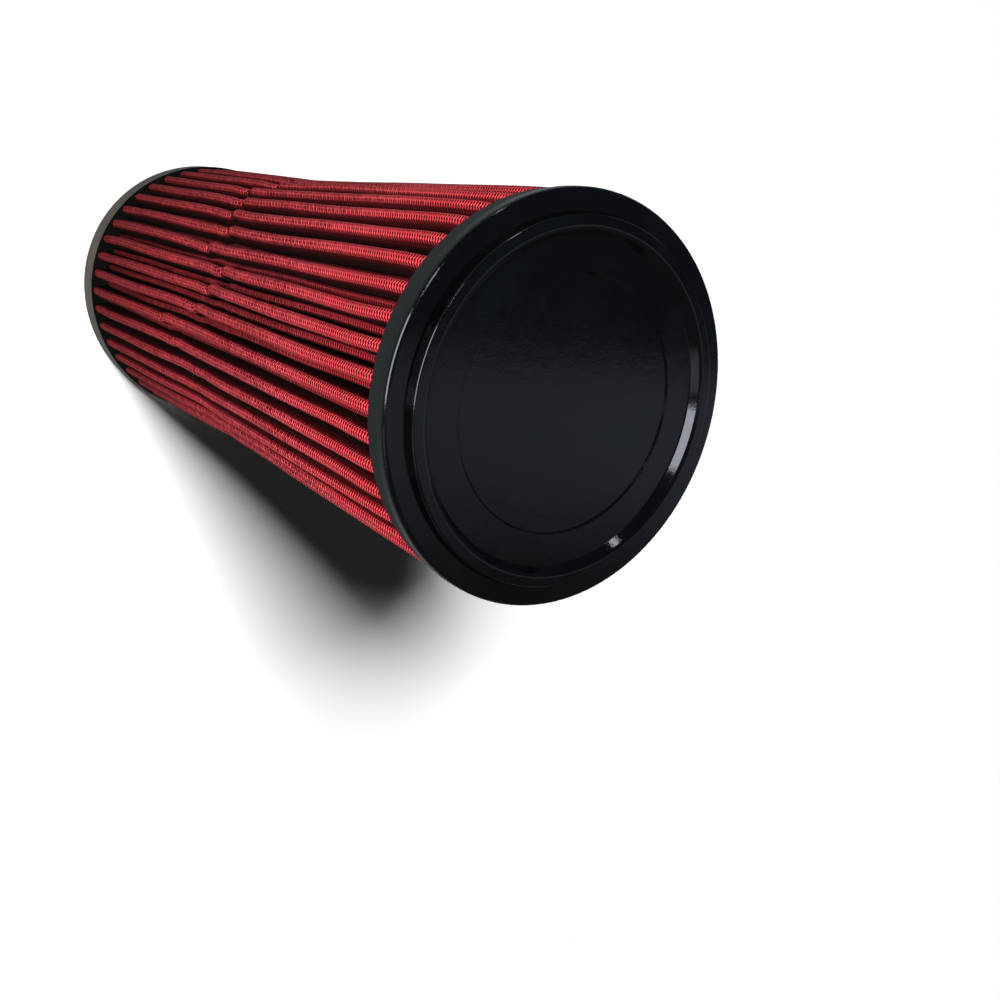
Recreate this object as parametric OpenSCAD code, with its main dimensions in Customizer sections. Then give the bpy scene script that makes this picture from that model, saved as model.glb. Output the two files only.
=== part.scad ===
// Performance air filter: a long round pleated filter with one closed end and one open end.
// It stands on its open end. The origin is the centre of that end's face, and +Z runs along
// the filter's axis towards the closed end.

/* [Overall] */
// Length from the open end's face to the closed end's flange
body_len = 363.5; // [250:0.5:450]
// Radius of the crests of the tall pleats
pack_r = 72.8; // [70:0.1:73]

/* [Closed end cap] */
// Radius of the closed cap's rim
closed_r = 75; // [74.5:0.5:80]
// Height of the rim band at full radius
closed_rim_h = 4.5; // [3:0.5:6]
// How far the skirt below the rim band steps in
skirt_step = 0.7; // [0.2:0.1:1]
// Height of the cap's side, from the flange to the skirt's edge
closed_side_h = 11.5; // [9.5:0.5:16]
// Thickness of the cast floor between the flange and the pack's end
closed_floor = 7.3; // [5:0.1:9]
// Rounding of the rim's edge
closed_round = 1.5; // [0.5:0.1:2.5]
// Radius of the raised bead's outer foot
bead_r = 67.3; // [63:0.1:70]
// Width of the raised bead at its foot
bead_w = 8; // [6.5:0.1:9]
// Height of the raised bead above the flange
bead_h = 3.4; // [2.8:0.1:4.5]
// Slope of the bead's outer side, in degrees off the filter's axis
bead_slope = 18; // [8:1:24]
// Rounding of the bead's outer edge
bead_round = 0.8; // [0.3:0.1:1.2]
// Slope of the bead's inner side, in degrees off the filter's axis
bead_in_slope = 36; // [18:1:40]
// Rounding of the bead's inner edge
bead_in_round = 2; // [0.5:0.1:2.4]
// Radius of the sunk disc in the middle of the face
dish_r = 46.5; // [30:0.5:52]
// Depth of the sunk disc
dish_depth = 0.8; // [0.3:0.1:1.2]

/* [Open end cap] */
// Radius of the open cap
open_r = 73.6; // [73.5:0.1:80]
// Height of the open cap's side
open_side_h = 17; // [15.5:0.5:24]
// Depth of the bore, down to the pack's end
bore_len = 15; // [10:0.5:15]
// Radius of the air outlet bore
bore_r = 45.8; // [38:0.1:46]
// Rounding of the bore's lip
lip_round = 1.5; // [0.5:0.1:2.5]
// Rounding of the open cap's outer edge
open_round = 0.8; // [0.3:0.1:1.5]
// Radius of the middle of the outer pair of seal grooves
pair_r = 66.7; // [65:0.1:68]
// Spacing of the two grooves of the pair
pair_gap = 1; // [0.9:0.1:1.4]
// Width of each groove of the pair
pair_w = 0.6; // [0.3:0.1:0.8]
// Depth of each groove of the pair
pair_depth = 0.8; // [0.4:0.1:1.2]
// Radius of the middle of the inner seal groove
groove_r = 60.6; // [58:0.1:62]
// Width of the inner seal groove
groove_w = 1.6; // [1:0.1:2.4]
// Depth of the inner seal groove
groove_depth = 1.6; // [0.8:0.1:3]
// Radius of the faint witness line on the wide ring
witness_r = 52; // [49:0.5:56]
// Width of the witness line
witness_w = 0.5; // [0.3:0.1:0.8]
// Depth of the witness line
witness_depth = 0.25; // [0.1:0.05:0.5]

/* [Pleated pack] */
// Number of tall pleats, each followed by a short one
pleat_count = 44; // [32:1:46]
// Radius of the crests of the short pleats
short_r = 66; // [60:0.5:68]
// Width of a tall pleat's rounded crest
tall_w = 4.9; // [4:0.1:5.2]
// Width of a short pleat's rounded crest
short_w = 3.6; // [3:0.1:3.8]
// Clear space between neighbouring inner folds
fold_gap = 0.3; // [0.1:0.05:0.5]
// Thickness of each wire screen
screen_t = 0.25; // [0.15:0.01:0.3]
// Thickness of the cotton between the screens
cotton_t = 0.66; // [0.4:0.02:0.7]

/* [Core tube] */
// How far the core tube stands inside the bore's wall
core_step = 0.6; // [0.3:0.1:0.8]
// Thickness of the core tube's mesh
core_t = 1.1; // [0.8:0.1:1.3]
// Openings around the core tube, an even number
core_around = 16; // [8:2:16]
// Rows of openings along the core tube
core_rows = 7; // [5:1:7]
// Width of the strands between the openings
core_strand = 2.4; // [2:0.1:5]
// Width of the plain band at each end of the core tube
core_band = 8; // [6:0.5:14]

/* [Clearances] */
// Space between the core tube and the inner folds
core_clear = 0.1; // [0.05:0.05:0.3]
// Space between the cast caps and the pleats
cast_clear = 0.05; // [0.02:0.01:0.1]
// Space between the layers of the pleated pack
layer_clear = 0.02; // [0.01:0.01:0.05]

/* [Hidden] */
$fn = 180;

// A little extra so that cuts run clean past a face
over = 1;

// Straight steps in each rounded edge of the caps, and of the raised bead
edge_steps = 5;
bead_steps = 4;

// The pack and the core tube share one length and stand between the two cast floors
pack_low = bore_len;
pack_high = body_len - closed_floor;
pack_len = pack_high - pack_low;

// The core tube
core_in = bore_r - core_step;
core_out = core_in + core_t;

// The folded sheet: its whole thickness, and the height of each layer's faces off its middle
sheet_t = cotton_t + 2 * (screen_t + layer_clear);
cotton_face = cotton_t / 2;
screen_foot = cotton_face + layer_clear;
sheet_face = screen_foot + screen_t;

// The folds: a tall crest, an inner fold, a short crest and an inner fold fill each pitch
quarter = 90 / pleat_count;
fold_foot = core_out + core_clear;
fold_out = (fold_foot * sin(quarter) - fold_gap / 2) / (1 - sin(quarter));
fold_mid = fold_out - sheet_t / 2;
fold_r = fold_foot + fold_out;
tall_mid = (tall_w - sheet_t) / 2;
tall_c = pack_r - tall_w / 2;
short_mid = (short_w - sheet_t) / 2;
short_c = short_r - short_w / 2;
tall_lean = lean(tall_c, tall_mid);
short_lean = lean(short_c, short_mid);
tall_steps = 8;
short_steps = 6;
fold_steps = 5;

cast_black = [0.07, 0.08, 0.09];
cast_grey = [0.3, 0.3, 0.3];
screen_red = [0.72, 0.1, 0.14];
cotton_red = [0.5, 0.03, 0.06];
core_bronze = [0.5, 0.42, 0.38];

function polar(r, a) = [r * cos(a), r * sin(a)];

// Points along an arc about a centre
function arc(centre, r, from, to, steps) =
    [for (i = [0:steps]) centre + polar(r, from + (to - from) * i / steps)];

// Angle from a crest's own radial line to the normal of its straight flank: the flank is
// the line that touches the crest's circle on one side and the inner fold's on the other
function lean(crest_c, crest_mid) =
    let (
        run = polar(fold_r, quarter) - [crest_c, 0],
        reach = norm(run)
    )
    atan2(run[1], run[0]) - acos((crest_mid + fold_mid) / reach);

// One crest, whose face lies off the sheet's middle by lift
function crest(centre_r, mid, half, at, lift, steps) =
    arc(polar(centre_r, at), mid + lift, at - half, at + half, steps);

// One inner fold, between the crests at the angles before and after
function fold(at, from, to, lift) =
    arc(polar(fold_r, at), fold_mid - lift, from + 180, to + 180, fold_steps);

// The closed outline of the folded sheet's face that lies off its middle by lift
function pleats(lift) = [
    for (i = [0:pleat_count - 1])
        let (
            tall = i * 4 * quarter,
            short = tall + 2 * quarter,
            next = tall + 4 * quarter
        )
        each concat(
            crest(tall_c, tall_mid, tall_lean, tall, lift, tall_steps),
            fold(tall + quarter, tall + tall_lean, short - short_lean, lift),
            crest(short_c, short_mid, short_lean, short, lift, short_steps),
            fold(short + quarter, short + short_lean, next - tall_lean, lift)
        )
];

// One layer of the folded sheet, between two faces
module layer(low_face, high_face) {
    translate([0, 0, pack_low])
        linear_extrude(pack_len)
            difference() {
                polygon(pleats(high_face));
                polygon(pleats(low_face));
            }
}

// The room that the pleats leave in a cap that is cast round them
module pleat_pocket(low, high) {
    translate([0, 0, low])
        linear_extrude(high - low)
            polygon(pleats(sheet_face + cast_clear));
}

// How far in from the bead's foot the centre of its edge's rounding lies
function bead_inset(slope, rounding) =
    (rounding + (bead_h - rounding) * sin(slope)) / cos(slope);

// The closed cap: rim, raised bead and sunk disc in one casting, with the pleats' ends in it
module closed_end_cap() {
    top = body_len;
    bead_in = bead_r - bead_w;
    bead_top = top + bead_h;
    out_inset = bead_inset(bead_slope, bead_round);
    in_inset = bead_inset(bead_in_slope, bead_in_round);
    dish_low = top - dish_depth;
    color(cast_black)
        difference() {
            rotate_extrude()
                polygon(concat(
                    [
                        [0, top - closed_side_h],
                        [closed_r - skirt_step, top - closed_side_h],
                        [closed_r - skirt_step, top - closed_rim_h - skirt_step / 2],
                        [closed_r, top - closed_rim_h]
                    ],
                    arc(
                        [closed_r - closed_round, top - closed_round],
                        closed_round, 0, 90, edge_steps
                    ),
                    [[bead_r, top]],
                    arc(
                        [bead_r - out_inset, bead_top - bead_round],
                        bead_round, bead_slope, 90, bead_steps
                    ),
                    arc(
                        [bead_in + in_inset, bead_top - bead_in_round],
                        bead_in_round, 90, 180 - bead_in_slope, bead_steps
                    ),
                    [
                        [bead_in, top],
                        [dish_r + dish_depth, top],
                        [dish_r, dish_low],
                        [0, dish_low]
                    ]
                ));
            pleat_pocket(top - closed_side_h - over, pack_high);
        }
}

// A ring-shaped groove in the open end's face
module face_groove(mid_r, width, depth) {
    rotate_extrude()
        polygon([
            [mid_r - width / 2, -over],
            [mid_r + width / 2, -over],
            [mid_r + width / 2, 0],
            [mid_r + width / 4, depth],
            [mid_r - width / 4, depth],
            [mid_r - width / 2, 0]
        ]);
}

// The open cap: a cast seal ring with the air outlet bore through it
module open_end_cap() {
    color(cast_grey)
        difference() {
            rotate_extrude()
                polygon(concat(
                    arc([bore_r + lip_round, lip_round], lip_round, 180, 270, edge_steps),
                    arc([open_r - open_round, open_round], open_round, 270, 360, edge_steps),
                    [
                        [open_r, open_side_h],
                        [bore_r, open_side_h]
                    ]
                ));
            face_groove(pair_r - pair_gap / 2, pair_w, pair_depth);
            face_groove(pair_r + pair_gap / 2, pair_w, pair_depth);
            face_groove(groove_r, groove_w, groove_depth);
            face_groove(witness_r, witness_w, witness_depth);
            pleat_pocket(pack_low, open_side_h + over);
        }
}

// Woven wire screen, dyed red, on the outside of the pleats
module outer_screen() {
    color(screen_red)
        layer(screen_foot, sheet_face);
}

// Oiled cotton gauze, folded between the two screens
module cotton_media() {
    color(cotton_red)
        layer(-cotton_face, cotton_face);
}

// Woven wire screen on the inside of the pleats
module inner_screen() {
    color(screen_red)
        layer(-sheet_face, -screen_foot);
}

// The core tube: metal sheet, slit and stretched into diamonds, and rolled round
module core_tube() {
    mesh_len = pack_len - 2 * core_band;
    row_pitch = mesh_len / (core_rows + 1);
    half_w = PI * (core_in + core_out) / 2 / core_around;
    half_cell = norm([half_w, row_pitch]);
    edge = half_w * row_pitch / half_cell;
    shrink = 1 - core_strand / (2 * edge);
    color(core_bronze)
        difference() {
            translate([0, 0, pack_low])
                cylinder(h = pack_len, r = core_out);
            translate([0, 0, pack_low - over])
                cylinder(h = pack_len + 2 * over, r = core_in);
            for (row = [1:core_rows], slot = [0:core_around / 2 - 1])
                translate([0, 0, pack_low + core_band + row * row_pitch])
                    rotate([0, 0, (slot + (row % 2) / 2) * 360 / core_around])
                        rotate([90, 0, 0])
                            linear_extrude(2 * core_out + 2 * over, center = true)
                                polygon([
                                    [half_w * shrink, 0],
                                    [0, row_pitch * shrink],
                                    [-half_w * shrink, 0],
                                    [0, -row_pitch * shrink]
                                ]);
        }
}

closed_end_cap();
open_end_cap();
outer_screen();
cotton_media();
inner_screen();
core_tube();
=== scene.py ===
import math

import bpy
import numpy as np
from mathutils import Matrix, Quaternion, Vector


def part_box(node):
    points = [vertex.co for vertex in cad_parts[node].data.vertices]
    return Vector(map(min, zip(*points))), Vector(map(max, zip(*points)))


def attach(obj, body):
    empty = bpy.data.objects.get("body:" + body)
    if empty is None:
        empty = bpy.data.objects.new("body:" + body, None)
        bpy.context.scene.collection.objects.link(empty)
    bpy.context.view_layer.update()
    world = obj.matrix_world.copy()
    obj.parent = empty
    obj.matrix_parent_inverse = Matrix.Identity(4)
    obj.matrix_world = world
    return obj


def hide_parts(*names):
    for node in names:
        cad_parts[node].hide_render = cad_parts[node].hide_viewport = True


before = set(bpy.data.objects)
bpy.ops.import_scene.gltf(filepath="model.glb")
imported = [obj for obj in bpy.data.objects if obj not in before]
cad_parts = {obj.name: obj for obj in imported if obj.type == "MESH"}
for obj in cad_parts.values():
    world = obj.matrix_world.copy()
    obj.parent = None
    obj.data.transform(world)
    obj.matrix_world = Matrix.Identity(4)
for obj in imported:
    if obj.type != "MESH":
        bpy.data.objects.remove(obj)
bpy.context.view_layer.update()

MM = 0.001
FULL_TURN = 2 * math.pi

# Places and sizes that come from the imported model
TOP_CAP_LOW, TOP_CAP_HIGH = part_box("closed_end_cap")
BASE_CAP_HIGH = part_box("open_end_cap")[1]
PACK_LOW, PACK_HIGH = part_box("outer_screen")
CORE_LOW, CORE_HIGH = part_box("core_tube")
BASE_R = BASE_CAP_HIGH.x
PACK_R = PACK_HIGH.x
CORE_OUT = CORE_HIGH.x
SKIRT_TOP = TOP_CAP_LOW.z
SKIRT_BASE = BASE_CAP_HIGH.z

# The closed cap's flat face, under its raised bead, and the lower edge of its rim band
BEAD_H = 3.4 * MM
RIM_H = 4.7 * MM
FACE_Z = TOP_CAP_HIGH.z - BEAD_H
RIM_LOW_Z = FACE_Z - RIM_H

# The folded pack: a tall and a short pleat fill each pitch
PLEATS = 44
QUARTER = math.radians(90 / PLEATS)
PITCH = 4 * QUARTER
SHORT_R = 66 * MM
TALL_W = 4.9 * MM
SHORT_W = 3.6 * MM
SHEET_T = 1.2 * MM
FOLD_GAP = 0.3 * MM
CORE_CLEAR = 0.1 * MM
FOLD_FOOT = CORE_OUT + CORE_CLEAR
FOLD_OUT = (FOLD_FOOT * math.sin(QUARTER) - FOLD_GAP / 2) / (1 - math.sin(QUARTER))
FOLD_R = FOLD_FOOT + FOLD_OUT
FOLD_MID = FOLD_OUT - SHEET_T / 2
END_GAP = 0.5 * MM

# Points along each tall crest, flank, inner fold and short crest
OUTSIDE_COUNTS = (13, 3, 4, 7)
INSIDE_COUNTS = (3, 1, 7, 3)
FILM_COUNTS = (9, 2, 3, 5)

# Heights between the rows of points: wide, and close where the pleats are pinched
ROW_WIDE = 6.5 * MM
ROW_CLOSE = 1.35 * MM
PINCH_MARGIN = 7 * MM
INSIDE_ROWS = 12

# How far from the caps the pleats wander freely, and how much they do outward and aside
CLEAR_OF_CAP = 25 * MM
TALL_OUT = 0.35 * MM
TALL_ASIDE = 0.75 * MM
SHORT_OUT = 1.3 * MM
SHORT_ASIDE = 0.55 * MM

# How much the tall crests swell, and how much of their waist the short ones follow
TALL_SWELL = 0.12 * MM
SHORT_WAIST = 0.6

# The woven screen's cell, across the folds and along the pleats
CELL_ACROSS = 1.6 * MM
CELL_ALONG = 1.69 * MM

# Mean radius of the tall crests by height above the floor, both in mm
CREST_Z = [15.0, 33.5, 108.5, 148.3, 176.0, 340.0, 356.2]
CREST_R = [72.6, 72.6, 71.5, 70.6, 71.0, 73.9, 73.4]

# Measured depth below the closed face, in mm, at which a tall pleat is pinched
PINCH_DEPTH = {
    27: 222.8, 28: 209.2, 29: 201.8, 30: 188.2, 31: 198.0, 32: 168.0, 33: 175.5,
    34: 188.2, 35: 231.0, 36: 216.0, 37: 186.0, 39: 207.0, 40: 210.8,
}

# The other tall pleats' depths are guesses: their middle, how far they spread, and their seed
GUESS_DEPTH = 205
GUESS_SPREAD = 26
GUESS_SEED = 9

# Place across a tall crest of the points that lie on none, where a crest's own run from -1 to 1
OFF_CREST = 9.0

# Each pinch: a slanting crease with painted shade in it, a step down below it and a shove aside on
# both sides of it
CREASE_W = 1.3 * MM
CREASE_SLANT = 2.4 * MM
CREASE_DEPTH = 1.2 * MM
CREASE_SHADE = 0.5
STEP_DOWN = 0.9 * MM
STEP_FADE = 8
SHOVE = 0.75 * MM
SHOVE_REACH = 9 * MM

# Brings the peak of x * exp(-x * x) to about 1
TO_PEAK = 2.2

# The cast film on the pleats' ends, thick at the cap and thin at its edge
FILM_REACH = 16 * MM
FILM_THICK = 0.4 * MM
FILM_EDGE = 0.03 * MM
FILM_ROWS = 6
FILM_SUNK = 0.5 * MM

# The core tube's stretched mesh
CORE_AROUND = 56
CORE_ROWS = 28
CORE_BAND = 3 * MM
CORE_MID = CORE_OUT - 0.55 * MM
BAND_T = 1.0 * MM
BAND_POINTS = 145
STRAND_W = 1.0 * MM
STRAND_T = 0.6 * MM
STRAND_TILT = 0.11
STRAND_LAP = 0.03

# Beads of potting inside the core tube, and weld dots where the tube's sheet overlaps
POTTING_IN = 2.6 * MM
POTTING_R = 1.15 * MM
POTTING_TALL = 1.0 * MM
WELD_LINES = (203, 211)
WELDS_PER_LINE = 40
WELD_END = 6 * MM
WELD_IN = 1.0 * MM
WELD_R = 0.8 * MM
WELD_TALL = 0.35 * MM

# Points round each bead and dot, and up its side
DOME_AROUND = 11
DOME_RISE = 4

# The camera of the photograph, in the filter's own frame
CAMERA_AT = Vector((0.0, -0.24107, 0.63947))
CAMERA_AIM = Vector((0.08785, 0.27757, -0.00008))
CAMERA_ROLL = math.radians(115.408)
CAMERA_LENS = 37.04


def wave(x, seed):
    """A smooth wandering curve of x between about -1 and 1, the same each run."""
    return (
        np.sin(x + seed * 1.7)
        + 0.6 * np.sin(x * 2.3 + seed * 4.1)
        + 0.4 * np.sin(x * 4.9 + seed * 2.3)
    ) / 2


def mesh_piece(name, points, quads, smooth=True):
    """An object from points and four-cornered faces."""
    mesh = bpy.data.meshes.new(name)
    mesh.vertices.add(len(points))
    mesh.vertices.foreach_set("co", points.astype(np.float32).ravel())
    mesh.loops.add(quads.size)
    mesh.loops.foreach_set("vertex_index", quads.ravel())
    mesh.polygons.add(len(quads))
    mesh.polygons.foreach_set("loop_start", np.arange(0, quads.size, 4))
    mesh.update(calc_edges=True)
    mesh.validate()
    mesh.polygons.foreach_set("use_smooth", np.full(len(quads), smooth))
    made = bpy.data.objects.new(name, mesh)
    bpy.context.scene.collection.objects.link(made)
    return made


def grid_quads(rows, cols):
    """The four corners of each face between a grid's points, counted row by row."""
    index = np.arange(rows * cols).reshape(rows, cols)
    corners = [index[:-1, :-1], index[:-1, 1:], index[1:, 1:], index[1:, :-1]]
    return np.stack(corners, axis=-1).reshape(-1, 4)


def grid_mesh(name, points, uv=None, depth=None):
    """An object from a grid of points, rows by columns by xyz, with a UV and a depth of painted
    shade each.
    """
    quads = grid_quads(*points.shape[:2])
    made = mesh_piece(name, points.reshape(-1, 3), quads)
    if uv is not None:
        layer = made.data.uv_layers.new(name="weave")
        corner = uv.reshape(-1, 2)[quads.ravel()]
        layer.data.foreach_set("uv", corner.astype(np.float32).ravel())
    if depth is not None:
        attribute = made.data.attributes.new("depth", "FLOAT", "POINT")
        attribute.data.foreach_set("value", depth.astype(np.float32).ravel())
    return made


# The pleats

def pinch_depths():
    """Depth below the closed face at which each tall pleat is pinched, measured or guessed."""
    depths = [
        PINCH_DEPTH.get(pleat, GUESS_DEPTH + GUESS_SPREAD * wave(pleat * 1.9, GUESS_SEED))
        for pleat in range(PLEATS)
    ]
    return np.array(depths) * MM


def crest_arc(centre_r, at, half_w, angles):
    """Points on each pleat's arc, whose centre lies at centre_r and at the angle at."""
    x = centre_r[..., None] * np.cos(at)[..., None] + half_w[..., None] * np.cos(angles)
    y = centre_r[..., None] * np.sin(at)[..., None] + half_w[..., None] * np.sin(angles)
    return np.stack([x, y], axis=-1)


def steps(start, end, count):
    """count values from start to end, on a new last axis."""
    return start[..., None] + (end - start)[..., None] * np.linspace(0, 1, count)


def between(first, last, count):
    """count points spaced inside the gap from the first points to the last."""
    share = np.linspace(0, 1, count + 2)[1:-1]
    return first[..., None, :] + (last - first)[..., None, :] * share[:, None]


def flank_angle(centre_r, at, crest_mid, fold_at, side):
    """Direction of the normal to the flank from a crest to the fold on that side (1 or -1)."""
    x = FOLD_R * np.cos(fold_at - at) - centre_r
    y = FOLD_R * np.sin(fold_at - at) * side
    lean = np.arctan2(y, x) - np.arccos((crest_mid + FOLD_MID) / np.hypot(x, y))
    return at + side * lean


def pleat_points(z, lift, counts):
    """The folded sheet's face that lies off its middle by lift, at each height.

    Returns points by height, pleat and place along the fold, and how far each of them is
    across its tall crest, from -1 to 1."""
    tall_n, flank_n, fold_n, short_n = counts
    pleat = np.arange(PLEATS)
    height, which = np.meshgrid(z, pleat, indexing="ij")
    share = (height - PACK_LOW.z) / (PACK_HIGH.z - PACK_LOW.z)
    free = np.clip(np.minimum(height - SKIRT_BASE, SKIRT_TOP - height) / CLEAR_OF_CAP, 0, 1)
    waist = np.interp(height / MM, CREST_Z, CREST_R) * MM - PACK_R
    roam = share * 5
    tall_top = PACK_R + waist + TALL_OUT * free * wave(roam + which * 2.1, which * 1.3)
    tall_side = TALL_ASIDE * free * wave(roam * 0.8 + which * 0.7, which * 2.9)
    short_out = SHORT_OUT * free * wave(roam + which * 1.1, which * 3.7)
    short_top = SHORT_R + waist * SHORT_WAIST + short_out
    short_side = SHORT_ASIDE * free * wave(roam * 0.9 + which, which * 5.3)

    tall_half = np.full_like(height, TALL_W / 2) + TALL_SWELL * wave(roam + which * 3, which)
    short_half = np.full_like(height, SHORT_W / 2)
    tall_mid = tall_half - SHEET_T / 2
    short_mid = short_half - SHEET_T / 2
    tall_c = tall_top - tall_half
    short_c = short_top - short_half
    tall_at = which * PITCH + tall_side / PACK_R
    short_at = which * PITCH + 2 * QUARTER + short_side / SHORT_R
    fold_one = which * PITCH + QUARTER
    fold_two = which * PITCH + 3 * QUARTER
    fold_last = fold_two - PITCH

    tall_left = flank_angle(tall_c, tall_at, tall_mid, fold_one, 1)
    tall_right = flank_angle(tall_c, tall_at, tall_mid, fold_last, -1)
    short_left = flank_angle(short_c, short_at, short_mid, fold_two, 1)
    short_right = flank_angle(short_c, short_at, short_mid, fold_one, -1)
    next_right = np.roll(tall_right, -1, axis=1)
    next_right[:, -1] += FULL_TURN

    tall = crest_arc(tall_c, tall_at, tall_mid + lift, steps(tall_right, tall_left, tall_n))
    short = crest_arc(short_c, short_at, short_mid + lift, steps(short_right, short_left, short_n))
    fold_r = np.full_like(height, FOLD_R)
    fold_half = np.full_like(height, FOLD_MID - lift)
    one = crest_arc(
        fold_r, fold_one, fold_half, steps(tall_left + math.pi, short_right + math.pi, fold_n)
    )
    two = crest_arc(
        fold_r, fold_two, fold_half, steps(short_left + math.pi, next_right + math.pi, fold_n)
    )
    following = np.roll(tall[..., 0, :], -1, axis=1)
    parts = [
        tall,
        between(tall[..., -1, :], one[..., 0, :], flank_n),
        one,
        between(one[..., -1, :], short[..., 0, :], flank_n),
        short,
        between(short[..., -1, :], two[..., 0, :], flank_n),
        two,
        between(two[..., -1, :], following, flank_n),
    ]
    plane = np.concatenate(parts, axis=2)
    across = np.full(plane.shape[:3], OFF_CREST)
    across[..., :tall_n] = np.linspace(-1, 1, tall_n)
    return plane, across


def crease_at(across, z):
    """The crease of each place's pleat: how deep the place lies in it, how many crease widths
    it is off it, how far it is on the crest, and the height of the crease."""
    place = (FACE_Z - pinch_depths())[None, :, None]
    on_crest = np.clip(1.6 - np.abs(across), 0, 1)
    slant = place + np.clip(across, -1, 1) * CREASE_SLANT
    off = (z[:, None, None] - slant) / CREASE_W
    return on_crest * np.exp(-off * off), off, on_crest, place


def pinch(plane, across, z):
    """Presses the slanting creases into the tall crests, which step down below them."""
    radius = np.hypot(plane[..., 0], plane[..., 1])
    angle = np.arctan2(plane[..., 1], plane[..., 0])
    crease, off, on_crest, place = crease_at(across, z)
    below = np.clip(0.5 - off / 2, 0, 1) * np.exp(-np.clip(-off, 0, None) / STEP_FADE)
    radius = radius - CREASE_DEPTH * crease - STEP_DOWN * below * on_crest
    near = (z[:, None, None] - place) / SHOVE_REACH
    shove = -SHOVE * near * np.exp(-near * near) * TO_PEAK
    reach = np.clip((radius - FOLD_R) / (PACK_R - FOLD_R), 0, 1)
    angle = angle + shove * reach / PACK_R
    return np.stack([radius * np.cos(angle), radius * np.sin(angle)], axis=-1)


def fold_lengths(plane):
    """How far along the folded sheet each place lies, as measured at its middle height."""
    middle = plane[len(plane) // 2].reshape(-1, 2)
    step = np.linalg.norm(np.diff(np.vstack([middle, middle[:1]]), axis=0), axis=1)
    return np.concatenate([[0], np.cumsum(step)])


def heights(low, high, fine_low, fine_high, coarse, fine):
    """Heights from low to high, closer together between the fine marks."""
    below = np.linspace(low, fine_low, max(2, round((fine_low - low) / coarse)))
    middle = np.linspace(fine_low, fine_high, round((fine_high - fine_low) / fine))
    above = np.linspace(fine_high, high, max(2, round((high - fine_high) / coarse)))
    return np.concatenate([below, middle[1:], above[1:]])


def ring_points(z, lift, counts, pinched=True):
    """The whole folded ring as rows and columns of points, closed by a last column."""
    plane, across = pleat_points(z, lift, counts)
    length = fold_lengths(plane)
    if pinched:
        plane = pinch(plane, across, z)
    flat = plane.reshape(len(z), -1, 2)
    flat = np.concatenate([flat, flat[:, :1]], axis=1)
    tall = np.repeat(z[:, None], flat.shape[1], axis=1)
    return np.dstack([flat, tall]), length, across


def ring_uv(points, length):
    """The weave's own coordinates: cells across and cells along."""
    across = np.repeat(length[None, :] / CELL_ACROSS, len(points), axis=0)
    return np.dstack([across, points[..., 2] / CELL_ALONG])


def ring_depth(points):
    """How deep each point lies in the folds, from 0 at the crests to 1 at the core."""
    radius = np.hypot(points[..., 0], points[..., 1])
    return np.clip((PACK_R - radius) / (PACK_R - FOLD_R), 0, 1)


def painted_fold_shade(counts):
    """How much painted shade each place round the ring takes: 0 on a tall crest, 1 in a fold."""
    tall_n, flank_n, fold_n, short_n = counts
    down = np.linspace(0.6, 1, flank_n)
    up = np.linspace(0.95, 0.68, flank_n)
    fold = np.ones(fold_n)
    tall = 0.45 * np.linspace(-1, 1, tall_n) ** 2
    short = 0.28 + 0.34 * np.linspace(-1, 1, short_n) ** 2
    pitch = np.concatenate([tall, down, fold, up, short, up[::-1], fold, down[::-1]])
    whole = np.tile(pitch, PLEATS)
    return np.append(whole, whole[0])


def make_pleats():
    """The outside of the folded screen, in two halves, and its inside round the core."""
    pinches = FACE_Z - pinch_depths()
    low = PACK_LOW.z + END_GAP
    high = PACK_HIGH.z - END_GAP
    z = heights(
        low, high, pinches.min() - PINCH_MARGIN, pinches.max() + PINCH_MARGIN, ROW_WIDE, ROW_CLOSE
    )
    points, length, across = ring_points(z, SHEET_T / 2, OUTSIDE_COUNTS)
    uv = ring_uv(points, length)
    # Painted shade: dark on the tall crests' sides, in the folds and on the short crests, and darker
    # again along the creases
    crease = crease_at(across, z)[0].reshape(len(z), -1)
    creased = CREASE_SHADE * np.hstack([crease, crease[:, :1]])
    depth = painted_fold_shade(OUTSIDE_COUNTS)[None, :] + creased
    columns = points.shape[1] - 1
    half = columns // 2
    made = []
    for name, start, end in (("pleats_left", 0, half), ("pleats_right", half, columns)):
        part = slice(start, end + 1)
        made.append(grid_mesh(name, points[:, part], uv[:, part], depth[:, part]))
    inner_z = np.linspace(low, high, INSIDE_ROWS)
    inner, inner_length, _ = ring_points(inner_z, -SHEET_T / 2, INSIDE_COUNTS, pinched=False)
    inner_uv = ring_uv(inner, inner_length)
    made.append(grid_mesh("pleats_inside", inner[:, ::-1], inner_uv[:, ::-1]))
    return made


def make_film(name, start, way, crest_h, gap_h, seed):
    """Cast film that has crept along the pleats from a cap: way is 1 up the filter, -1 down.

    It reaches crest_h along the tall crests and gap_h along the folds between them."""
    ends = np.array([start, start + way * FILM_REACH])
    thick = ring_points(ends, SHEET_T / 2 + FILM_THICK, FILM_COUNTS, pinched=False)[0]
    thin = ring_points(ends, SHEET_T / 2 + FILM_EDGE, FILM_COUNTS, pinched=False)[0]
    depth = ring_depth(thin[0])
    column = np.linspace(0, FULL_TURN, len(depth))
    ragged = 1 + 0.45 * wave(column * 23, seed) + 0.3 * wave(column * 71, seed + 3)
    tall = (crest_h + (gap_h - crest_h) * np.clip(depth * 3, 0, 1)) * np.clip(ragged, 0.25, 2)
    tall[-1] = tall[0]
    rows = []
    for share in np.linspace(0, 1, FILM_ROWS):
        up = (share * tall / FILM_REACH)[:, None]
        wide = thick[0] + (thick[1] - thick[0]) * up
        slim = thin[0] + (thin[1] - thin[0]) * up
        rows.append(wide + (slim - wide) * share ** 3)
    return grid_mesh(name, np.array(rows))


# The core tube's mesh and what shows beside it

def on_tube(radius, angle, z):
    """A point at a radius, an angle and a height."""
    return np.stack([radius * np.cos(angle), radius * np.sin(angle), z + 0 * angle], axis=-1)


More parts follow.
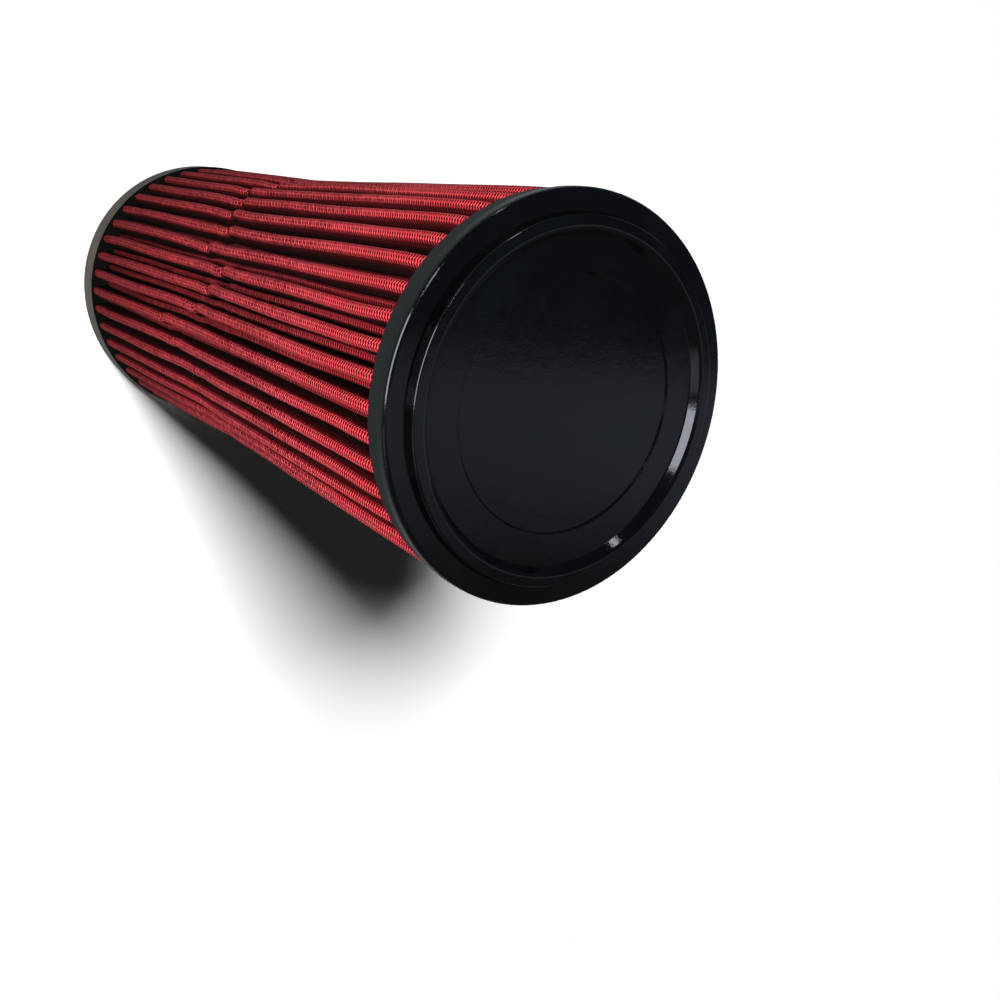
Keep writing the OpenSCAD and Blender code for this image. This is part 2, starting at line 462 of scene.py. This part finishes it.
def make_core():
    """The stretched metal tube: flat strands that cross in long diamonds, and two end bands."""
    low = CORE_LOW.z + CORE_BAND
    row_h = (CORE_HIGH.z - CORE_BAND - low) / CORE_ROWS
    half_step = math.pi / CORE_AROUND
    row, column, side = np.meshgrid(
        np.arange(CORE_ROWS), np.arange(CORE_AROUND), [-1, 1], indexing="ij"
    )
    row, column, side = row.ravel(), column.ravel(), side.ravel()
    start_a = (2 * column + row % 2) * half_step
    run_a = side * half_step
    long = math.hypot(row_h, half_step * CORE_MID)
    across_z = side * half_step * CORE_MID / long * STRAND_W / 2
    across_a = -row_h / long * STRAND_W / 2 / CORE_MID
    corners = []
    for share in (-STRAND_LAP, 1 + STRAND_LAP):
        for wide, thick in ((-1, -1), (1, -1), (1, 1), (-1, 1)):
            angle = start_a + run_a * share + wide * across_a
            z = low + (row + share) * row_h + wide * across_z
            radius = CORE_MID + thick * STRAND_T / 2 + STRAND_TILT * wide * STRAND_W * side
            corners.append(on_tube(radius, angle, z))
    points = np.stack(corners, axis=1)
    base = (np.arange(len(points)) * 8)[:, None, None]
    faces = np.array([[0, 1, 5, 4], [1, 2, 6, 5], [2, 3, 7, 6], [3, 0, 4, 7]])
    mesh = mesh_piece("core_mesh", points.reshape(-1, 3), (base + faces).reshape(-1, 4), False)

    angle = np.linspace(0, FULL_TURN, BAND_POINTS)
    inner_r = CORE_MID - BAND_T / 2
    outer_r = CORE_MID + BAND_T / 2
    bands = []
    for name, foot in (("core_band_low", CORE_LOW.z), ("core_band_high", CORE_HIGH.z - CORE_BAND)):
        top = foot + CORE_BAND
        profile = [(inner_r, foot), (outer_r, foot), (outer_r, top), (inner_r, top), (inner_r, foot)]
        rows = [on_tube(np.full_like(angle, radius), angle, z) for radius, z in profile]
        bands.append(grid_mesh(name, np.array(rows)))
    return [mesh, *bands]


def unit_dome():
    """A dome of radius and height 1 as rows of points: its flat side down, its top up."""
    around = np.linspace(0, FULL_TURN, DOME_AROUND)
    rise = np.linspace(0, math.pi / 2, DOME_RISE)
    flat = np.cos(rise)[:, None]
    tall = np.repeat(np.sin(rise)[:, None], len(around), axis=1)
    return np.stack([flat * np.cos(around), flat * np.sin(around), tall], axis=-1)


def domes(name, places, ways, radii, height):
    """One mesh of small domes at places, each with its top pointing its own way."""
    dome = unit_dome()
    quads = grid_quads(*dome.shape[:2])
    dome = dome.reshape(-1, 3)
    points = []
    for place, way, size in zip(places, ways, radii):
        turn = np.array(Vector((0, 0, 1)).rotation_difference(Vector(way)).to_matrix())
        scaled = dome * np.array([size, size, height])
        points.append(scaled @ turn.T + place)
    base = (np.arange(len(points)) * len(dome))[:, None, None]
    return mesh_piece(name, np.array(points).reshape(-1, 3), (base + quads).reshape(-1, 4))


def make_beads():
    """Beads of casting round the edge of the closed end's floor, inside the core tube."""
    number = np.arange(PLEATS)
    angle = number * PITCH + QUARTER * 0.6 * wave(number * 1.7, 2)
    radius = CORE_OUT - POTTING_IN + 0.4 * MM * wave(number * 2.3, 5)
    places = on_tube(radius, angle, np.full(PLEATS, PACK_HIGH.z))
    radii = POTTING_R + 0.3 * MM * wave(number * 3.1, 7)
    return domes("potting_beads", places, [(0, 0, -1)] * PLEATS, radii, POTTING_TALL)


def make_welds():
    """Two lines of weld dots where the core tube's sheet overlaps itself."""
    z = np.linspace(CORE_LOW.z + WELD_END, CORE_HIGH.z - WELD_END, WELDS_PER_LINE)
    places = []
    inward = []
    for line in WELD_LINES:
        at = math.radians(line)
        places.append(on_tube(np.full_like(z, CORE_OUT - WELD_IN), np.full_like(z, at), z))
        inward += [(-math.cos(at), -math.sin(at), 0)] * len(z)
    places = np.concatenate(places)
    return domes("core_welds", places, inward, np.full(len(places), WELD_R), WELD_TALL)


# Materials

WHITE = (1.0, 1.0, 1.0)

# Width of the fine rings that the mould left in the open cap
MOULD_RING_W = 0.45 * MM

# Distance from the filter at which the floor starts to fade to white, and has done so
FADE_START = 0.45
FADE_END = 0.85

# How much brighter than its own tone the floor looks to the camera
FLOOR_LIFT = 1.45


def material(name):
    """A new node material, its tree and its main shader."""
    made = bpy.data.materials.new(name)
    made.use_nodes = True
    tree = made.node_tree
    return made, tree, tree.nodes["Principled BSDF"]


def node(tree, kind, links=(), **settings):
    """A node of that kind, with settings on it and links or values on its inputs."""
    made = tree.nodes.new(kind)
    for key, value in settings.items():
        setattr(made, key, value)
    for slot, value in dict(links).items():
        if isinstance(value, bpy.types.NodeSocket):
            tree.links.new(value, made.inputs[slot])
        else:
            made.inputs[slot].default_value = value
    return made


def maths(tree, operation, first, second=0.0, third=0.0):
    """The result of one sum on sockets or numbers."""
    made = node(tree, "ShaderNodeMath", {0: first, 1: second, 2: third}, operation=operation)
    return made.outputs[0]


def span(tree, value, low, high, start=0.0, end=1.0):
    """A value moved from the range low to high into start to end, smoothly."""
    made = node(
        tree,
        "ShaderNodeMapRange",
        {"Value": value, "From Min": low, "From Max": high, "To Min": start, "To Max": end},
        interpolation_type="SMOOTHSTEP",
    )
    return made.outputs["Result"]


def noise(tree, where, scale, detail=3.0, roughness=0.55):
    """Noise of that scale at a place."""
    made = node(
        tree,
        "ShaderNodeTexNoise",
        {"Vector": where, "Scale": scale, "Detail": detail, "Roughness": roughness},
    )
    return made.outputs["Fac"]


def ramp(tree, value, stops):
    """A colour by value, from (position, colour) stops."""
    made = node(tree, "ShaderNodeValToRGB", {"Fac": value})
    elements = made.color_ramp.elements
    while len(elements) < len(stops):
        elements.new(0.5)
    for element, (position, colour) in zip(elements, stops):
        element.position = position
        element.color = (*colour, 1)
    return made.outputs["Color"]


def blend(tree, share, first, second, mode="MIX"):
    """Two colours mixed by a share."""
    made = node(tree, "ShaderNodeMix", data_type="RGBA", blend_type=mode)
    for slot, value in ((0, share), (6, first), (7, second)):
        if isinstance(value, bpy.types.NodeSocket):
            tree.links.new(value, made.inputs[slot])
        elif slot == 0:
            made.inputs[slot].default_value = value
        else:
            made.inputs[slot].default_value = (*value, 1)
    return made.outputs[2]


def times(tree, first, second):
    """Two colours multiplied."""
    return blend(tree, 1.0, first, second, "MULTIPLY")


def bump(tree, shader, height, strength, distance):
    """Puts a relief on a shader."""
    made = node(
        tree, "ShaderNodeBump", {"Height": height, "Strength": strength, "Distance": distance}
    )
    tree.links.new(made.outputs["Normal"], shader.inputs["Normal"])


def object_place(tree):
    """The place in the filter's own frame, its height and its distance off the axis."""
    place = node(tree, "ShaderNodeTexCoord").outputs["Object"]
    split = node(tree, "ShaderNodeSeparateXYZ", {0: place})
    x, y, z = split.outputs
    square = maths(tree, "ADD", maths(tree, "MULTIPLY", x, x), maths(tree, "MULTIPLY", y, y))
    return place, z, maths(tree, "SQRT", square)


def woven(name):
    """Red wire cloth over oiled cotton: bright wires across the folds, dark dots in rows."""
    made, tree, shader = material(name)
    place, z, _ = object_place(tree)

    # How low the cloth lies at each place in its cell, from 0 on the wires to 1 in the holes
    cells = node(tree, "ShaderNodeUVMap", uv_map="weave").outputs["UV"]
    split = node(tree, "ShaderNodeSeparateXYZ", {0: cells})
    turn_across = maths(tree, "MULTIPLY", split.outputs[0], FULL_TURN)
    crimp = maths(tree, "MULTIPLY", maths(tree, "SINE", turn_across), 0.7)
    turn_along = maths(tree, "MULTIPLY_ADD", split.outputs[1], FULL_TURN, crimp)
    row = maths(tree, "MULTIPLY_ADD", maths(tree, "COSINE", turn_across), -0.5, 0.5)
    gap = maths(tree, "MULTIPLY_ADD", maths(tree, "COSINE", turn_along), -0.5, 0.5)
    dot = maths(tree, "MULTIPLY", maths(tree, "POWER", gap, 0.7), row)
    low = maths(tree, "MULTIPLY_ADD", gap, 0.5, maths(tree, "MULTIPLY", dot, 0.5))
    # Pinkish painted highlights on the wire tops, red wires, and the holes' darker cotton with
    # painted shade that takes it near black
    cloth = ramp(tree, low, [
        (0.05, (1.0, 0.18, 0.21)), (0.26, (1.0, 0.03, 0.045)), (0.5, (0.25, 0.001, 0.004)),
        (0.76, (0.03, 0.0003, 0.0006)),
    ])

    # Strands that differ in brightness, by turns and by chance, and less so near the closed cap
    column = maths(tree, "FLOOR", split.outputs[0])
    line = maths(tree, "ROUND", maths(tree, "DIVIDE", turn_along, FULL_TURN))
    under = maths(tree, "MODULO", maths(tree, "ADD", column, line), 2.0)
    cell = node(tree, "ShaderNodeCombineXYZ", {0: column, 1: line}).outputs[0]
    chance = node(
        tree, "ShaderNodeTexWhiteNoise", {"Vector": cell}, noise_dimensions="2D"
    ).outputs["Value"]
    turned = maths(tree, "MULTIPLY_ADD", under, 0.5, maths(tree, "MULTIPLY", chance, 0.5))
    uneven = span(tree, z, 345 * MM, 245 * MM, 0.4, 1.0)
    differing = maths(tree, "MULTIPLY", turned, uneven)
    strands = ramp(tree, differing, [(0.2, WHITE), (1.0, (0.22, 0.13, 0.14))])
    cloth = times(tree, cloth, strands)

    # Specks and blotches of dust, painted shade by height, and painted shade in the folds and
    # creases
    speck = maths(tree, "MULTIPLY", noise(tree, place, 520.0, 2.0, 0.6), uneven)
    spots = ramp(tree, speck, [(0.4, WHITE), (0.62, (0.55, 0.44, 0.45))])
    cloth = times(tree, cloth, spots)
    patchy = noise(tree, place, 55.0, 4.0)
    mottle = ramp(tree, patchy, [(0.3, WHITE), (0.72, (0.88, 0.8, 0.81))])
    cloth = times(tree, cloth, mottle)
    # Painted shade by height: darker towards the open end and just below the closed cap
    worn = ramp(
        tree, span(tree, z, PACK_LOW.z, PACK_HIGH.z),
        [(0.0, (0.54, 0.4, 0.4)), (0.2, (0.77, 0.67, 0.67)), (0.36, (0.9, 0.85, 0.85)),
         (0.52, (0.83, 0.85, 0.85)), (0.68, (0.95, 0.98, 0.98)), (0.85, (0.93, 0.98, 0.98)),
         (0.97, (0.68, 0.53, 0.55))],
    )
    cloth = times(tree, cloth, worn)
    # The depth attribute says how much painted shade each place takes: on the crests' sides, in the
    # folds and along the creases
    depth = node(tree, "ShaderNodeAttribute", attribute_name="depth").outputs["Fac"]
    painted_shade = ramp(tree, depth, [
        (0.12, WHITE), (0.36, (0.3, 0.16, 0.18)), (0.52, (0.035, 0.014, 0.017)),
        (0.8, (0.003, 0.001, 0.0015)),
    ])
    tree.links.new(times(tree, cloth, painted_shade), shader.inputs["Base Color"])
    dull = maths(tree, "MAXIMUM", span(tree, low, 0.1, 0.5), span(tree, depth, 0.3, 0.8))
    tree.links.new(span(tree, dull, 0.0, 1.0, 0.36, 0.9), shader.inputs["Roughness"])
    shader.inputs["Specular IOR Level"].default_value = 0.1
    bump(tree, shader, maths(tree, "SUBTRACT", 1.0, low), 1.0, 0.3 * MM)
    return made


def gloss_cast(name):
    """Black cast polyurethane: glossy rim and face, duller green-grey skirt, cloudy skin.

    A dark parting line runs between the rim and the skirt."""
    made, tree, shader = material(name)
    place, z, _ = object_place(tree)
    cloud = noise(tree, place, 26.0, 5.0)
    speck = noise(tree, place, 380.0, 3.0, 0.6)
    mixed = maths(tree, "MULTIPLY_ADD", speck, 0.3, maths(tree, "MULTIPLY", cloud, 0.7))
    face = ramp(tree, mixed, [(0.36, (0.0006, 0.0009, 0.0012)), (0.66, (0.002, 0.003, 0.0034))])
    side = ramp(tree, mixed, [(0.36, (0.004, 0.008, 0.0078)), (0.66, (0.0105, 0.0175, 0.017))])
    skirt = span(tree, z, RIM_LOW_Z + 0.4 * MM, RIM_LOW_Z - 0.6 * MM)
    line = maths(tree, "ABSOLUTE", maths(tree, "SUBTRACT", z, RIM_LOW_Z))
    parting = span(tree, line, 0.15 * MM, 0.55 * MM)
    colour = blend(tree, skirt, face, side)
    colour = blend(tree, parting, (0.001, 0.001, 0.0012), colour)
    tree.links.new(colour, shader.inputs["Base Color"])
    polish = span(tree, mixed, 0.35, 0.7, 0.06, 0.14)
    tree.links.new(maths(tree, "MULTIPLY_ADD", skirt, 0.45, polish), shader.inputs["Roughness"])
    orange = noise(tree, place, 120.0, 2.0)
    skin = noise(tree, place, 1400.0, 2.0)
    bump(tree, shader, maths(tree, "MULTIPLY_ADD", skin, 0.4, orange), 0.45, 0.1 * MM)
    shader.inputs["Specular IOR Level"].default_value = 0.5
    return made


def matt_cast(name):
    """Scuffed grey cast seal ring, with a paler worn band, a smooth lip and a dark bore.

    Its face is coloured by the distance off the axis, its side is warmer, and the face that is
    turned to the pleats is black."""
    made, tree, shader = material(name)
    place, z, radius = object_place(tree)
    blotch = noise(tree, place, 90.0, 6.0, 0.65)
    grain = noise(tree, place, 600.0, 3.0, 0.6)
    mixed = maths(tree, "MULTIPLY_ADD", grain, 0.35, maths(tree, "MULTIPLY", blotch, 0.65))
    share = maths(tree, "DIVIDE", radius, BASE_R)
    tone = ramp(tree, share, [
        (0.615, (0.018, 0.024, 0.032)), (0.632, (0.16, 0.16, 0.16)), (0.66, (0.085, 0.084, 0.083)),
        (0.705, (0.1, 0.099, 0.098)), (0.8, (0.062, 0.062, 0.062)), (0.836, (0.15, 0.148, 0.145)),
        (0.89, (0.15, 0.148, 0.145)), (0.915, (0.06, 0.06, 0.06)), (0.985, (0.12, 0.118, 0.114)),
    ])
    mottle = ramp(tree, mixed, [(0.36, (0.45, 0.45, 0.46)), (0.64, (1.25, 1.24, 1.22))])
    colour = times(tree, tone, mottle)
    side = ramp(tree, mixed, [(0.36, (0.075, 0.064, 0.054)), (0.64, (0.143, 0.122, 0.103))])
    off_face = span(tree, z, 0.8 * MM, 1.8 * MM)
    outside = maths(tree, "MULTIPLY", off_face, span(tree, share, 0.96, 0.99))
    colour = blend(tree, outside, colour, side)
    inward = span(tree, z, SKIRT_BASE - 0.5 * MM, SKIRT_BASE - 0.2 * MM)
    colour = blend(tree, inward, colour, (0.0012, 0.0012, 0.0012))
    tree.links.new(colour, shader.inputs["Base Color"])
    tree.links.new(span(tree, mixed, 0.35, 0.7, 0.42, 0.68), shader.inputs["Roughness"])
    rings = maths(tree, "SINE", maths(tree, "MULTIPLY", radius, FULL_TURN / MOULD_RING_W))
    height = maths(tree, "MULTIPLY_ADD", rings, 0.08, mixed)
    bump(tree, shader, height, 0.55, 0.15 * MM)
    shader.inputs["Specular IOR Level"].default_value = 0.15
    return made


def film_cast(name):
    """The thin black film of casting on the pleats' ends."""
    made, tree, shader = material(name)
    place, _, _ = object_place(tree)
    cloud = noise(tree, place, 160.0, 4.0)
    colour = ramp(tree, cloud, [(0.35, (0.0006, 0.0006, 0.0006)), (0.7, (0.004, 0.004, 0.004))])
    tree.links.new(colour, shader.inputs["Base Color"])
    tree.links.new(span(tree, cloud, 0.3, 0.7, 0.55, 0.8), shader.inputs["Roughness"])
    shader.inputs["Specular IOR Level"].default_value = 0.06
    bump(tree, shader, cloud, 0.6, 0.2 * MM)
    return made


def strand_metal(name):
    """Dull stretched sheet metal with a warm, oily tint."""
    made, tree, shader = material(name)
    place, _, _ = object_place(tree)
    patchy = noise(tree, place, 60.0, 4.0)
    colour = ramp(tree, patchy, [(0.35, (0.24, 0.17, 0.165)), (0.7, (0.44, 0.35, 0.335))])
    tree.links.new(colour, shader.inputs["Base Color"])
    shader.inputs["Metallic"].default_value = 0.7
    tree.links.new(span(tree, patchy, 0.0, 1.0, 0.35, 0.6), shader.inputs["Roughness"])
    bump(tree, shader, noise(tree, place, 700.0, 2.0), 0.3, 0.05 * MM)
    return made


def floor_material():
    """A pale floor that takes the shadow near the filter and is plain white further off.

    It throws only dim light back on the filter."""
    made, tree, _ = material("floor_paper")
    tree.nodes.clear()
    path = node(tree, "ShaderNodeLightPath").outputs
    seen = maths(tree, "MAXIMUM", path["Is Camera Ray"], path["Is Transmission Ray"])
    place = node(tree, "ShaderNodeTexCoord").outputs["Object"]
    tone = ramp(tree, noise(tree, place, 1.2, 2.0), [(0.3, (0.98, 0.98, 0.98)), (0.7, WHITE)])
    bright = times(tree, tone, (FLOOR_LIFT, FLOOR_LIFT, FLOOR_LIFT))
    grey = blend(tree, path["Is Glossy Ray"], (0.3, 0.3, 0.3), (0.3, 0.34, 0.34))
    colour = blend(tree, seen, grey, bright)
    paper = node(tree, "ShaderNodeBsdfDiffuse", {"Color": colour}).outputs[0]
    glow = node(tree, "ShaderNodeEmission", {"Color": (*WHITE, 1), "Strength": 1.0}).outputs[0]
    far = node(tree, "ShaderNodeVectorMath", {0: place}, operation="LENGTH").outputs["Value"]
    away = maths(tree, "MULTIPLY", span(tree, far, FADE_START, FADE_END), path["Is Camera Ray"])
    mixed = node(tree, "ShaderNodeMixShader", {0: away, 1: paper, 2: glow}).outputs[0]
    node(tree, "ShaderNodeOutputMaterial", {"Surface": mixed})
    return made


def dress(piece, look):
    """Puts a material on a piece in place of what it has."""
    piece.data.materials.clear()
    piece.data.materials.append(look)


# Stage

# Half the floor's side, and how far off the windows stand
FLOOR_HALF = 6.0
GLINT_AWAY = 1.5

# What the lamps are aimed at: the filter's middle, or its upper end
MIDDLE = (0, 0, 0.2)
UPPER_END = (0, 0, 0.36)

# The way from one side to the other of the room that the gloss mirrors
ROOM_ACROSS = (0.978, 0.207, -0.134)


def make_floor():
    """One large sheet under the filter."""
    mesh = bpy.data.meshes.new("floor")
    corners = [
        (x * FLOOR_HALF, y * FLOOR_HALF, 0) for x, y in ((-1, -1), (1, -1), (1, 1), (-1, 1))
    ]
    mesh.from_pydata(corners, [], [(0, 1, 2, 3)])
    floor = bpy.data.objects.new("floor", mesh)
    bpy.context.scene.collection.objects.link(floor)
    dress(floor, floor_material())
    return floor


def make_lamp(name, azimuth, elevation, distance, size, level, lit, aim=MIDDLE):
    """A soft square lamp for the lit pieces alone.

    level is how brightly it lights a white sheet that faces it."""
    data = bpy.data.lights.new(name, "AREA")
    data.shape = "SQUARE"
    data.size = size
    data.energy = level * math.pi ** 2 * distance ** 2
    turn = math.radians(azimuth)
    lift = math.radians(elevation)
    way = Vector((
        math.cos(lift) * math.cos(turn), math.cos(lift) * math.sin(turn), math.sin(lift)
    ))
    lamp = bpy.data.objects.new(name, data)
    lamp.location = Vector(aim) + way * distance
    lamp.rotation_mode = "QUATERNION"
    lamp.rotation_quaternion = (-way).to_track_quat("-Z", "Y")
    lamp.light_linking.receiver_collection = lit
    bpy.context.scene.collection.objects.link(lamp)
    return lamp


def collect(name, *pieces):
    """A collection of pieces for a lamp to light."""
    made = bpy.data.collections.new(name)
    for piece in pieces:
        made.objects.link(piece)
    return made


def make_fill(name, azimuth, elevation, distance, size, level, lit, aim=MIDDLE):
    """A lamp that doesn't show in the gloss."""
    lamp = make_lamp(name, azimuth, elevation, distance, size, level, lit, aim)
    lamp.visible_glossy = False


def make_glint(name, azimuth, elevation, size, tall, level, lit):
    """A window, size wide and tall high, that shows only as a highlight on the gloss."""
    lamp = make_lamp(name, azimuth, elevation, GLINT_AWAY, size, level, lit, (0, 0, FACE_Z))
    lamp.data.shape = "RECTANGLE"
    lamp.data.size_y = tall
    lamp.data.color = (0.84, 0.87, 1.0)
    lamp.visible_diffuse = False


def make_lamps(floor, pleats, others, cap, ring):
    """One lamp for the floor, lamps round the filter and windows that show in the cap's gloss."""
    whole = collect("filter", *pleats, *others, cap, ring)
    pack = collect("pack", *pleats, *others)
    cap_alone = collect("cap", cap)
    make_lamp("over", 230.5, 55, 9.0, 2.1, 1.0, collect("ground", floor))
    make_lamp("key", 281, 38, 1.3, 0.4, 2.2, pack, UPPER_END)
    make_lamp("ring_key", 281, 38, 1.3, 0.4, 1.7, collect("ring", ring), UPPER_END)
    make_fill("cap_light", 266, 38, 1.3, 0.45, 0.9, cap_alone, UPPER_END)
    make_fill("side", 300, 32, 0.9, 0.4, 0.05, whole, (0, 0, 0.38))
    make_fill("back_left", 142, 30, 2.0, 1.0, 0.6, whole)
    make_fill("back_right", 58, 30, 2.0, 1.0, 0.6, whole)
    make_glint("window", 273, 30, 0.95, 0.3, 0.36, cap_alone)
    make_glint("far_window", 316, 30, 0.6, 0.3, 0.02, cap_alone)
    make_glint("high_window", 232, 55, 0.4, 0.3, 0.12, cap_alone)
    make_glint("small_window", 195, 19, 0.12, 0.12, 0.02, cap_alone)


def make_world():
    """Dim even light; white to the eye, and a dim room with a pale band in the gloss."""
    world = bpy.data.worlds.new("studio")
    world.use_nodes = True
    tree = world.node_tree
    path = node(tree, "ShaderNodeLightPath").outputs
    way = node(tree, "ShaderNodeTexCoord").outputs["Generated"]
    tilt = node(
        tree, "ShaderNodeVectorMath", {0: way, 1: ROOM_ACROSS}, operation="DOT_PRODUCT"
    ).outputs["Value"]
    soft = maths(tree, "MULTIPLY_ADD", noise(tree, way, 14.0, 5.0), 0.04, tilt)
    room = ramp(tree, maths(tree, "ADD", soft, 0.5), [
        (0.49, (0.055, 0.06, 0.085)), (0.53, (0.31, 0.34, 0.41)), (0.62, (0.28, 0.31, 0.37)),
        (0.72, (0.07, 0.075, 0.09)),
    ])
    colour = blend(tree, path["Is Glossy Ray"], (0.01, 0.01, 0.01), room)
    colour = blend(tree, path["Is Camera Ray"], colour, WHITE)
    background = tree.nodes["Background"]
    tree.links.new(colour, background.inputs["Color"])
    background.inputs["Strength"].default_value = 1.0
    bpy.context.scene.world = world


def make_camera():
    """The photograph's camera: where it stood, what it looked at and how it was turned."""
    data = bpy.data.cameras.new("camera")
    data.sensor_width = 36.0
    data.lens = CAMERA_LENS
    data.clip_start = 0.01
    data.clip_end = 30.0
    camera = bpy.data.objects.new("camera", data)
    camera.location = CAMERA_AT
    camera.rotation_mode = "QUATERNION"
    look = (CAMERA_AIM - CAMERA_AT).to_track_quat("-Z", "Y")
    camera.rotation_quaternion = look @ Quaternion((0, 0, 1), CAMERA_ROLL)
    bpy.context.scene.collection.objects.link(camera)
    bpy.context.scene.camera = camera


def add(pieces, look):
    """Dresses pieces and ties them to the filter."""
    for piece in pieces:
        dress(piece, look)
        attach(piece, "root")
    return pieces


def main():
    """Sets the stage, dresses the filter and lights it."""
    make_camera()
    floor = make_floor()
    make_world()

    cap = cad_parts["closed_end_cap"]
    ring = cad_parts["open_end_cap"]
    gloss = gloss_cast("gloss_cast")
    metal = strand_metal("core_metal")
    film = film_cast("cast_film")
    dress(cap, gloss)
    dress(ring, matt_cast("matt_cast"))

    pleats = add(make_pleats(), woven("red_screen"))
    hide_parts("outer_screen", "cotton_media")
    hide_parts("inner_screen")
    core = add(make_core(), metal)
    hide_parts("core_tube")
    welds = add([make_welds()], metal)
    beads = add([make_beads()], gloss)
    films = add([
        make_film("film_open_end", SKIRT_BASE - FILM_SUNK, 1, 1.4 * MM, 4.5 * MM, 4),
        make_film("film_closed_end", SKIRT_TOP + FILM_SUNK, -1, 0.7 * MM, 2.2 * MM, 8),
    ], film)

    # The pleats throw no red light on the floor or on each other
    for piece in pleats:
        piece.visible_diffuse = False
    make_lamps(floor, pleats, [*core, *welds, *beads, *films], cap, ring)

    bpy.context.scene.view_settings.view_transform = "Standard"


main()
